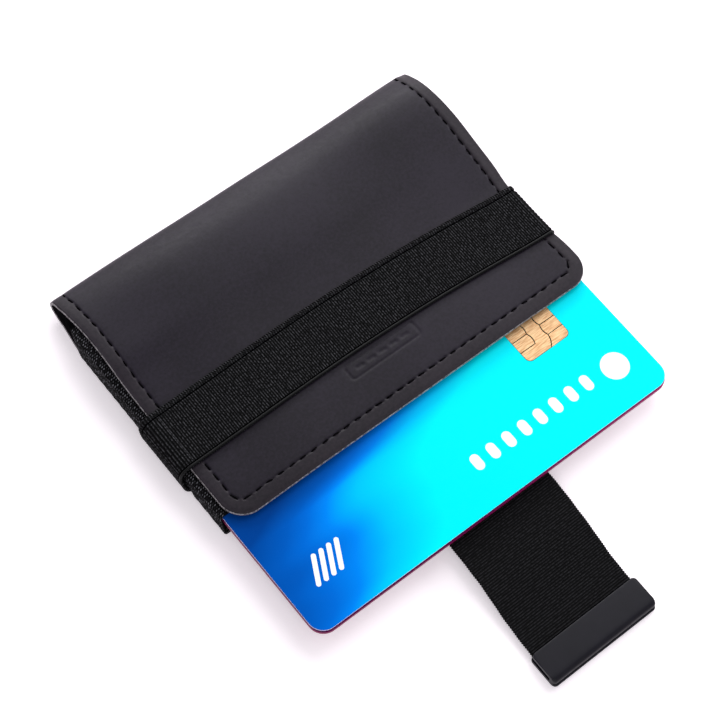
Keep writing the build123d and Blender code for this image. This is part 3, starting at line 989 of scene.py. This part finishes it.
def build_band():
    """The elastic band: rows across its outer face, round one edge, over its inner face and back."""
    x, z, a = band_route()
    dx = np.roll(x, -1) - np.roll(x, 1)
    dz = np.roll(z, -1) - np.roll(z, 1)
    for _ in range(6):
        dx = (np.roll(dx, 1) + dx + np.roll(dx, -1)) / 3
        dz = (np.roll(dz, 1) + dz + np.roll(dz, -1)) / 3
    out = unit(np.stack([-dz, np.zeros_like(dz), dx], -1))
    centre_front, centre_back = band_centre(x)
    on_top = smoothstep(z, BAND_LOW, 5.0)
    centre = centre_back * (1 - on_top) + centre_front * on_top
    flat_x = np.clip(x, *BAND_FLAT)
    mid_top = front_height(flat_x, centre_front) + BAND_GAP

    def row(w, height):
        """The points at w across the band, lifted off its inner face."""
        y = centre - BAND_W / 2 + w
        ratio = (front_height(flat_x, y) + BAND_GAP - BAND_LOW) / (mid_top - BAND_LOW)
        at = np.stack([x, y, BAND_LOW + (z - BAND_LOW) * ratio], -1)
        return at + out * (height + np.zeros_like(a))[:, None]

    calm = 0.25 + 0.75 * smoothstep(z, BAND_LOW, BAND_LOW + 5.2)
    face_w = spaced([(0.0, 0.07), (1.05, 0.22), (11.6, 0.1), (BAND_W, None)])
    rows = []
    for w in face_w:
        edge = min(w, BAND_W - w)
        rounding = 0.2 * (1 - min(edge / 0.2, 1.0)) ** 2
        rows.append(row(w, BAND_T - 0.08 - rounding + band_height(w, a) * calm))
    inner_rows = ((BAND_W + 0.04, 0.3), (BAND_W - 0.1, 0), (BAND_W / 2, 0), (0.1, 0), (-0.04, 0.3))
    rows += [row(w, lift) for w, lift in inner_rows]
    all_w = np.concatenate([face_w, [w for w, _ in inner_rows]])
    finish = np.zeros(len(rows), int)
    finish[:len(face_w)][face_w < 0.5] = 2
    in_groove = (np.abs(face_w - GROOVE_LOW) < 0.1) | (np.abs(face_w - GROOVE_HIGH) < 0.13)
    finish[:len(face_w)][in_groove] = 1
    u, v = np.meshgrid(a, all_w)
    return mesh_piece(
        "band_loop", np.concatenate(rows), grid_quads(len(rows), len(a), True, True).tolist(),
        [elastic.mat, groove.mat, piping.mat], np.repeat(finish, len(a)),
        uv=np.stack([u, v], -1).reshape(-1, 2), sharp=80)


placed(build_band(), "root", "band_elastic", "elastic_band")


def tack(node, count, height):
    """Threads laid side by side along Y, over a node's box."""
    low, high = span(node)
    t = np.linspace(-1, 1, 13)
    y = (low.y + high.y) / 2 + t * (high.y - low.y) / 2
    z = height - 0.03 + 0.25 * np.abs(t) ** 6
    return [(np.stack([np.full(13, x), y, z], -1), (0, 0, -1)) for x in np.linspace(low.x, high.x, count)]


join = tack("band_join_stitching", 4, 0.2)
thread_tubes("band_join_threads", join, JOIN_THREAD_R, "band_join_stitching")


# ---- Pull ribbon ----
def strap_centre(y):
    """The ribbon's middle: straight in the sleeve, a little askew where it hangs out."""
    return RIBBON_X + 1.3 * smoothstep(-y, 20, 55) - 1.35 * smoothstep(-y, 55, 82)


def strap(name, path):
    """A ribbed ribbon along a centreline of (y, z) points."""
    run = run_along(path)
    s = np.linspace(0, run[-1], max(3, round(run[-1] / RIBBON_RIB * 8) + 1))
    y = np.interp(s, run, path[:, 0])
    z = np.interp(s, run, path[:, 1])
    dy = np.gradient(y)
    dz = np.gradient(z)
    out = unit(np.stack([np.zeros_like(dz), dz, -dy], -1))
    ribs = ripple(s, RIBBON_RIB)
    half_w = RIBBON_W / 2 + 0.07 * ribs + 0.05 * np.sin(s * 0.9 + 1) * np.sin(s * 0.37)
    outside = smoothstep(-y, 53, 57)
    rib = (0.02 + 0.025 * outside) * ribs
    across = np.concatenate([[-1.0, -0.994, -0.97], np.linspace(-0.93, 0.93, 25), [0.97, 0.994, 1.0]])
    half_t = RIBBON_T / 2 * np.array([0.35, 0.8, 1.0] + [0.92] * 25 + [1.0, 0.8, 0.35])
    rib_share = smoothstep(np.abs(across), 0.995, 0.96) * np.where(np.abs(across) < 0.95, 1, 0.6)
    top = list(zip(across, half_t, rib_share))
    rings = []
    uv = []
    for side, columns in ((1, top), (-1, top[::-1])):
        for place, thick, share in columns:
            curl = 0.05 * outside * np.sin(s * 0.5) * place**2
            lift = side * (thick + rib * share) + curl
            rings.append(np.stack([strap_centre(y) + place * half_w, y, z], -1) + out * lift[:, None])
            uv.append(np.stack([np.full_like(s, place * RIBBON_W / 2), s], -1))
    points = np.stack(rings, 1)
    piece = mesh_piece(
        name, points.reshape(-1, 3), tube_faces(*points.shape[:2]), [webbing.mat],
        uv=np.stack(uv, 1).reshape(-1, 2), sharp=80)
    return piece


def bend_route():
    """The ribbon's middle where it turns behind the cards: two square corners, each rounded."""
    back = span("strap_loop")[1].y - RIBBON_T / 2 - BEND_R
    turn = np.linspace(0, math.pi / 2, 12)
    y = np.concatenate([back + BEND_R * np.sin(turn), back + BEND_R * np.cos(turn)])
    z = np.concatenate([
        RIBBON_HIGH - BEND_R + BEND_R * np.cos(turn), RIBBON_LOW + BEND_R - BEND_R * np.sin(turn)])
    return np.concatenate([
        [(RIBBON_TURN, RIBBON_HIGH)], np.column_stack([y, z]), [(RIBBON_TURN, RIBBON_LOW)]])


def lower_route():
    """The ribbon's middle below the cards, and down to the tab."""
    y = np.linspace(RIBBON_TURN, RIBBON_END, 400)
    sag = (RIBBON_LOW - RIBBON_END_Z) * smoothstep(-y, 57, 79)
    wave = 0.05 * np.sin(y * 0.35) * smoothstep(-y, 50, 62) * (1 - smoothstep(-y, 70, 78))
    return np.column_stack([y, RIBBON_LOW - sag + wave])


upper = strap("ribbon_upper", np.array([(RIBBON_INNER_END, RIBBON_HIGH), (RIBBON_TURN, RIBBON_HIGH)]))
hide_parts("strap_upper_run")
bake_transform(upper)

turn_piece = strap("ribbon_turn", bend_route())
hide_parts("strap_loop")
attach(turn_piece, "card_stack")

lower = strap("ribbon_lower", lower_route())
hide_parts("strap_lower_run", "strap_tail")
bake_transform(lower)

anchor = tack("strap_anchor_stitching", 15, RIBBON_HIGH - RIBBON_T / 2 + 0.14)
thread_tubes("strap_anchor_threads", anchor, INNER_THREAD_R, "strap_anchor_stitching")


# ---- Metal tab ----
def tab_section(y0, y1, top):
    """The folded strip's end view: its rolled top leaf, the slot for the ribbon and its bottom leaf."""
    return np.array([
        (y1, top - 0.12), (y1 - 0.08, top - 0.03), (y1 - 0.25, top), (y0 + 2.0, top - 0.04),
        (y0 + 1.35, top + 0.02), (y0 + 0.9, top - 0.05), (y0 + 0.55, top - 0.28), (y0 + 0.36, top - 0.62),
        (y0 + 0.32, 1.15), (y0 + 0.36, 0.98), (y0 + 0.50, 0.88), (y0 + 0.50, 0.80), (y0 + 0.20, 0.74),
        (y0 + 0.06, 0.62), (y0, 0.42), (y0 + 0.05, 0.2), (y0 + 0.2, 0.05), (y0 + 0.45, 0.0),
        (y1 - 0.25, 0.0), (y1 - 0.08, 0.04), (y1, 0.14), (y1, 0.6), (y1 - 0.08, 0.68), (y0 + 1.5, 0.7),
        (y0 + 1.25, 0.8), (y0 + 1.15, 1.2), (y0 + 1.25, 1.6), (y0 + 1.5, 1.7), (y1 - 0.08, 1.72), (y1, 1.80),
    ])


def build_tab():
    """The tab's section, drawn in at both ends so that its corners are round."""
    low, high = span("pull_tab")
    corner = 0.8
    section = tab_section(low.y, high.y, high.z)
    share = (section[:, 0] - low.y) / (high.y - low.y)
    lead = corner * (1 - np.cos(np.linspace(0, math.pi / 2, 10)))
    middle = np.linspace(low.x + corner, high.x - corner, 24)[1:-1]
    rings = []
    for x in np.concatenate([low.x + lead, middle, high.x - lead[::-1]]):
        inward = max(0.0, low.x + corner - x, x - (high.x - corner))
        cut_in = corner - math.sqrt(max(corner**2 - inward**2, 0.0))
        y = low.y + cut_in + share * (high.y - low.y - 2 * cut_in)
        rings.append(np.column_stack([np.full(len(section), x), y, section[:, 1]]))
    faces = tube_faces(len(rings), len(section))
    piece = mesh_piece("tab_clamp", np.concatenate(rings), faces, [metal.mat], sharp=45)
    round_edges(piece, 0.06, 55)
    placed(piece, "pull_strap", "tab_metal", "pull_tab")


build_tab()


# ---- Cards ----
def build_card(node, body, face_look, side_looks, slot_name, forward=0.0):
    """A card. side_looks are its side's lower part and the thin band under its face; on the top and bottom
    cards these are a mauve darkened as painted shade and a painted highlight.
    """
    low, high = span(node)
    x = (low.x + high.x) / 2
    y = (low.y + high.y) / 2 - forward
    outline = rounded_outline(x, y, CARD_W, CARD_D, CARD_R, 14)
    looks = [side_looks[0].mat, side_looks[0].mat, side_looks[1].mat, face_look.mat]
    piece = prism(node + "_print", [outline], low.z, high.z, looks, (high.z - 0.25, high.z - 0.04))
    round_edges(piece, 0.03, 50)
    placed(piece, body, slot_name, node)


build_card("card_bottom", "card_stack", dark_print, (edge_shaded_mauve, edge_highlight_band), "card_dark")
build_card(
    "card_middle", "middle_card", pink_print, (edge_magenta, edge_magenta), "card_pink", MIDDLE_CARD_FORWARD)
build_card("card_top", "top_card", blue_print, (edge_shaded_mauve, edge_highlight_band), "card_blue")


def inner_side(row, sign):
    """The line between a side contact and the middle one, bowed towards the middle."""
    bow = -0.3 if row in (1, 2) else 0.25
    t = np.linspace(0, 1, 6)
    u = CHIP_WAIST[row] * (1 - t) + CHIP_WAIST[row + 1] * t + bow * np.sin(math.pi * t)
    v = CHIP_ROWS[row] * (1 - t) + CHIP_ROWS[row + 1] * t
    return list(zip(sign * u, v))


def outer_side(row, sign):
    """The contact's outer edge, rounded where it is a corner of the plate."""
    bottom, top = CHIP_ROWS[row:row + 2]
    edge = [(CHIP_HALF_W, bottom), (CHIP_HALF_W, top)]
    turn = np.linspace(0, math.pi / 2, 6)
    cx = CHIP_HALF_W - CHIP_R
    if row == 0:
        edge[:1] = [(cx + CHIP_R * math.sin(a), bottom + CHIP_R - CHIP_R * math.cos(a)) for a in turn]
    if row == 3:
        edge[1:] = [(cx + CHIP_R * math.cos(a), top - CHIP_R + CHIP_R * math.sin(a)) for a in turn]
    return [(sign * u, v) for u, v in edge]


def chip_pads():
    """Outlines of the contacts: seven at the sides, and the middle one, which takes in one corner."""
    sides = [(row, 1) for row in range(4)] + [(row, -1) for row in range(1, 4)]
    pads = [outer_side(row, sign) + inner_side(row, sign)[::-1] for row, sign in sides]
    middle = []
    for row in range(4):
        middle += inner_side(row, 1)
    for row in (3, 2, 1):
        middle += inner_side(row, -1)[::-1]
    pads.append(middle + outer_side(0, -1)[::-1])
    return pads


def build_chip(node, body):
    """A contact plate: a dark base, and gold contacts that stand a little above it."""
    low, high = span(node)
    cx = (low.x + high.x) / 2
    cy = (low.y + high.y) / 2
    outline = rounded_outline(cx, cy, 2 * CHIP_HALF_W, 2 * CHIP_HALF_D, CHIP_R)
    base = prism(node + "_base", [outline], low.z, high.z, [gold_gap.mat])
    work = bmesh.new()
    for pad in chip_pads():
        corners = [pad[0]]
        for place in pad[1:]:
            if math.dist(place, corners[-1]) > 0.02:
                corners.append(place)
        work.faces.new([work.verts.new(Vector((cx + u, cy + v, high.z + 0.002)) * MM) for u, v in corners])
    bmesh.ops.recalc_face_normals(work, faces=work.faces)
    gaps = bmesh.ops.inset_individual(work, faces=list(work.faces), thickness=0.10 * MM)["faces"]
    bmesh.ops.delete(work, geom=gaps, context="FACES")
    for f in work.faces:
        if f.normal.z < 0:
            f.normal_flip()
    bmesh.ops.inset_individual(work, faces=list(work.faces), thickness=0.05 * MM, depth=0.012 * MM)
    for f in work.faces:
        f.smooth = False
    mesh = bpy.data.meshes.new(node + "_pads")
    work.to_mesh(mesh)
    work.free()
    mesh.materials.append(gold.mat)
    placed(base, body, "chip_gold", node)
    placed(linked(node + "_pads", mesh), body, "chip_gold", node)


build_chip("card_bottom_chip", "card_stack")
build_chip("card_middle_chip", "middle_card")
build_chip("card_top_chip", "top_card")


def capsule(cx, cy, length, width, angle):
    """Outline of a bar with round ends."""
    r = width / 2
    straight = length / 2 - r
    out = []
    for centre, start in ((straight, -math.pi / 2), (-straight, math.pi / 2)):
        for a in np.linspace(start, start + math.pi, 9):
            at = Matrix.Rotation(angle, 2) @ Vector((centre + r * math.cos(a), r * math.sin(a)))
            out.append((cx + at.x, cy + at.y))
    return out


def build_marks():
    """The top card's white print: four slanting bars, a row of eight short ones and a disc."""
    x, y = SLANTS_AT
    shapes = [capsule(x + 1.75 * (k - 1.5), y, 6.4, 0.95, math.radians(62)) for k in range(4)]
    x, y = BARS_AT
    shapes += [capsule(x + 3.9 * k, y, 3.5, 2.0, math.radians(90)) for k in range(8)]
    turn = np.linspace(0, 2 * math.pi, 40, endpoint=False)
    shapes.append(DISC_AT + DISC_R * np.column_stack([np.cos(turn), np.sin(turn)]))
    face = span("card_top")[1].z
    marks = prism("card_top_marks", shapes, face - 0.05, face + 0.008, [white_print.mat])
    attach(marks, "top_card")


build_marks()


# ---- Floor, light and camera ----
floor_look = Look("floor", (250, 244, 248), 0.9, 0.0)
floor_look.bump(floor_look.noise(0.5, 3.0), 0.02, 0.1)
floor_look.colour_by(floor_look.noise(0.004), (0.3, (250, 243, 248)), (0.7, (252, 246, 250)))
floor_look.finish(Emission_Color=linear(251, 246, 252), Emission_Strength=0.36)
floor_corners = [
    (x * FLOOR_HALF, y * FLOOR_HALF, FLOOR_Z) for x, y in ((-1, -1), (1, -1), (1, 1), (-1, 1))
]
mesh_piece("floor", floor_corners, [[0, 1, 2, 3]], [floor_look.mat], closed=False)

scene = bpy.context.scene
scene.world = bpy.data.worlds.new("studio")
scene.world.use_nodes = True
sky = scene.world.node_tree.nodes["Background"].inputs
sky["Color"].default_value = (1.0, 0.985, 1.0, 1.0)
sky["Strength"].default_value = 0.46


def softbox(name, place, aim, size, power, colour=(1, 1, 1)):
    """A rectangular lamp at a place, turned to its aim."""
    data = bpy.data.lights.new(name, "AREA")
    data.shape = "RECTANGLE"
    data.size = size[0] * MM
    data.size_y = size[1] * MM
    data.energy = power
    data.color = colour
    lamp = linked(name, data)
    lamp.location = Vector(place) * MM
    lamp.rotation_euler = (Vector(aim) - Vector(place)).to_track_quat("-Z", "Y").to_euler()


softbox("key", (380, 220, 460), (0, -10, 0), (460, 460), 1.9)
softbox("back_fill", (220, 450, 240), (20, 10, 0), (380, 180), 1.9)
softbox("right_fill", (520, -60, 170), (40, -10, 5), (300, 140), 1.15, (1.0, 0.97, 1.0))
softbox("front_fill", (-160, -420, 320), (0, -30, 0), (300, 200), 0.5)

# The camera: its place, and its three axes.
eye = Vector((-133.6942, -137.7095, 353.677))
right = Vector((0.777313, -0.625109, 0.07085))
down = Vector((-0.535173, -0.716244, -0.44787))
forward = Vector((0.330712, 0.310216, -0.89129))
lens = bpy.data.cameras.new("camera")
lens.lens = 103.33
lens.sensor_width = 36
lens.clip_start = 0.01
camera = linked("camera", lens)
camera.matrix_world = Matrix.Translation(eye * MM) @ Matrix((right, -down, -forward)).transposed().to_4x4()
scene.camera = camera
scene.view_settings.view_transform = "Standard"
scene.view_settings.look = "None"
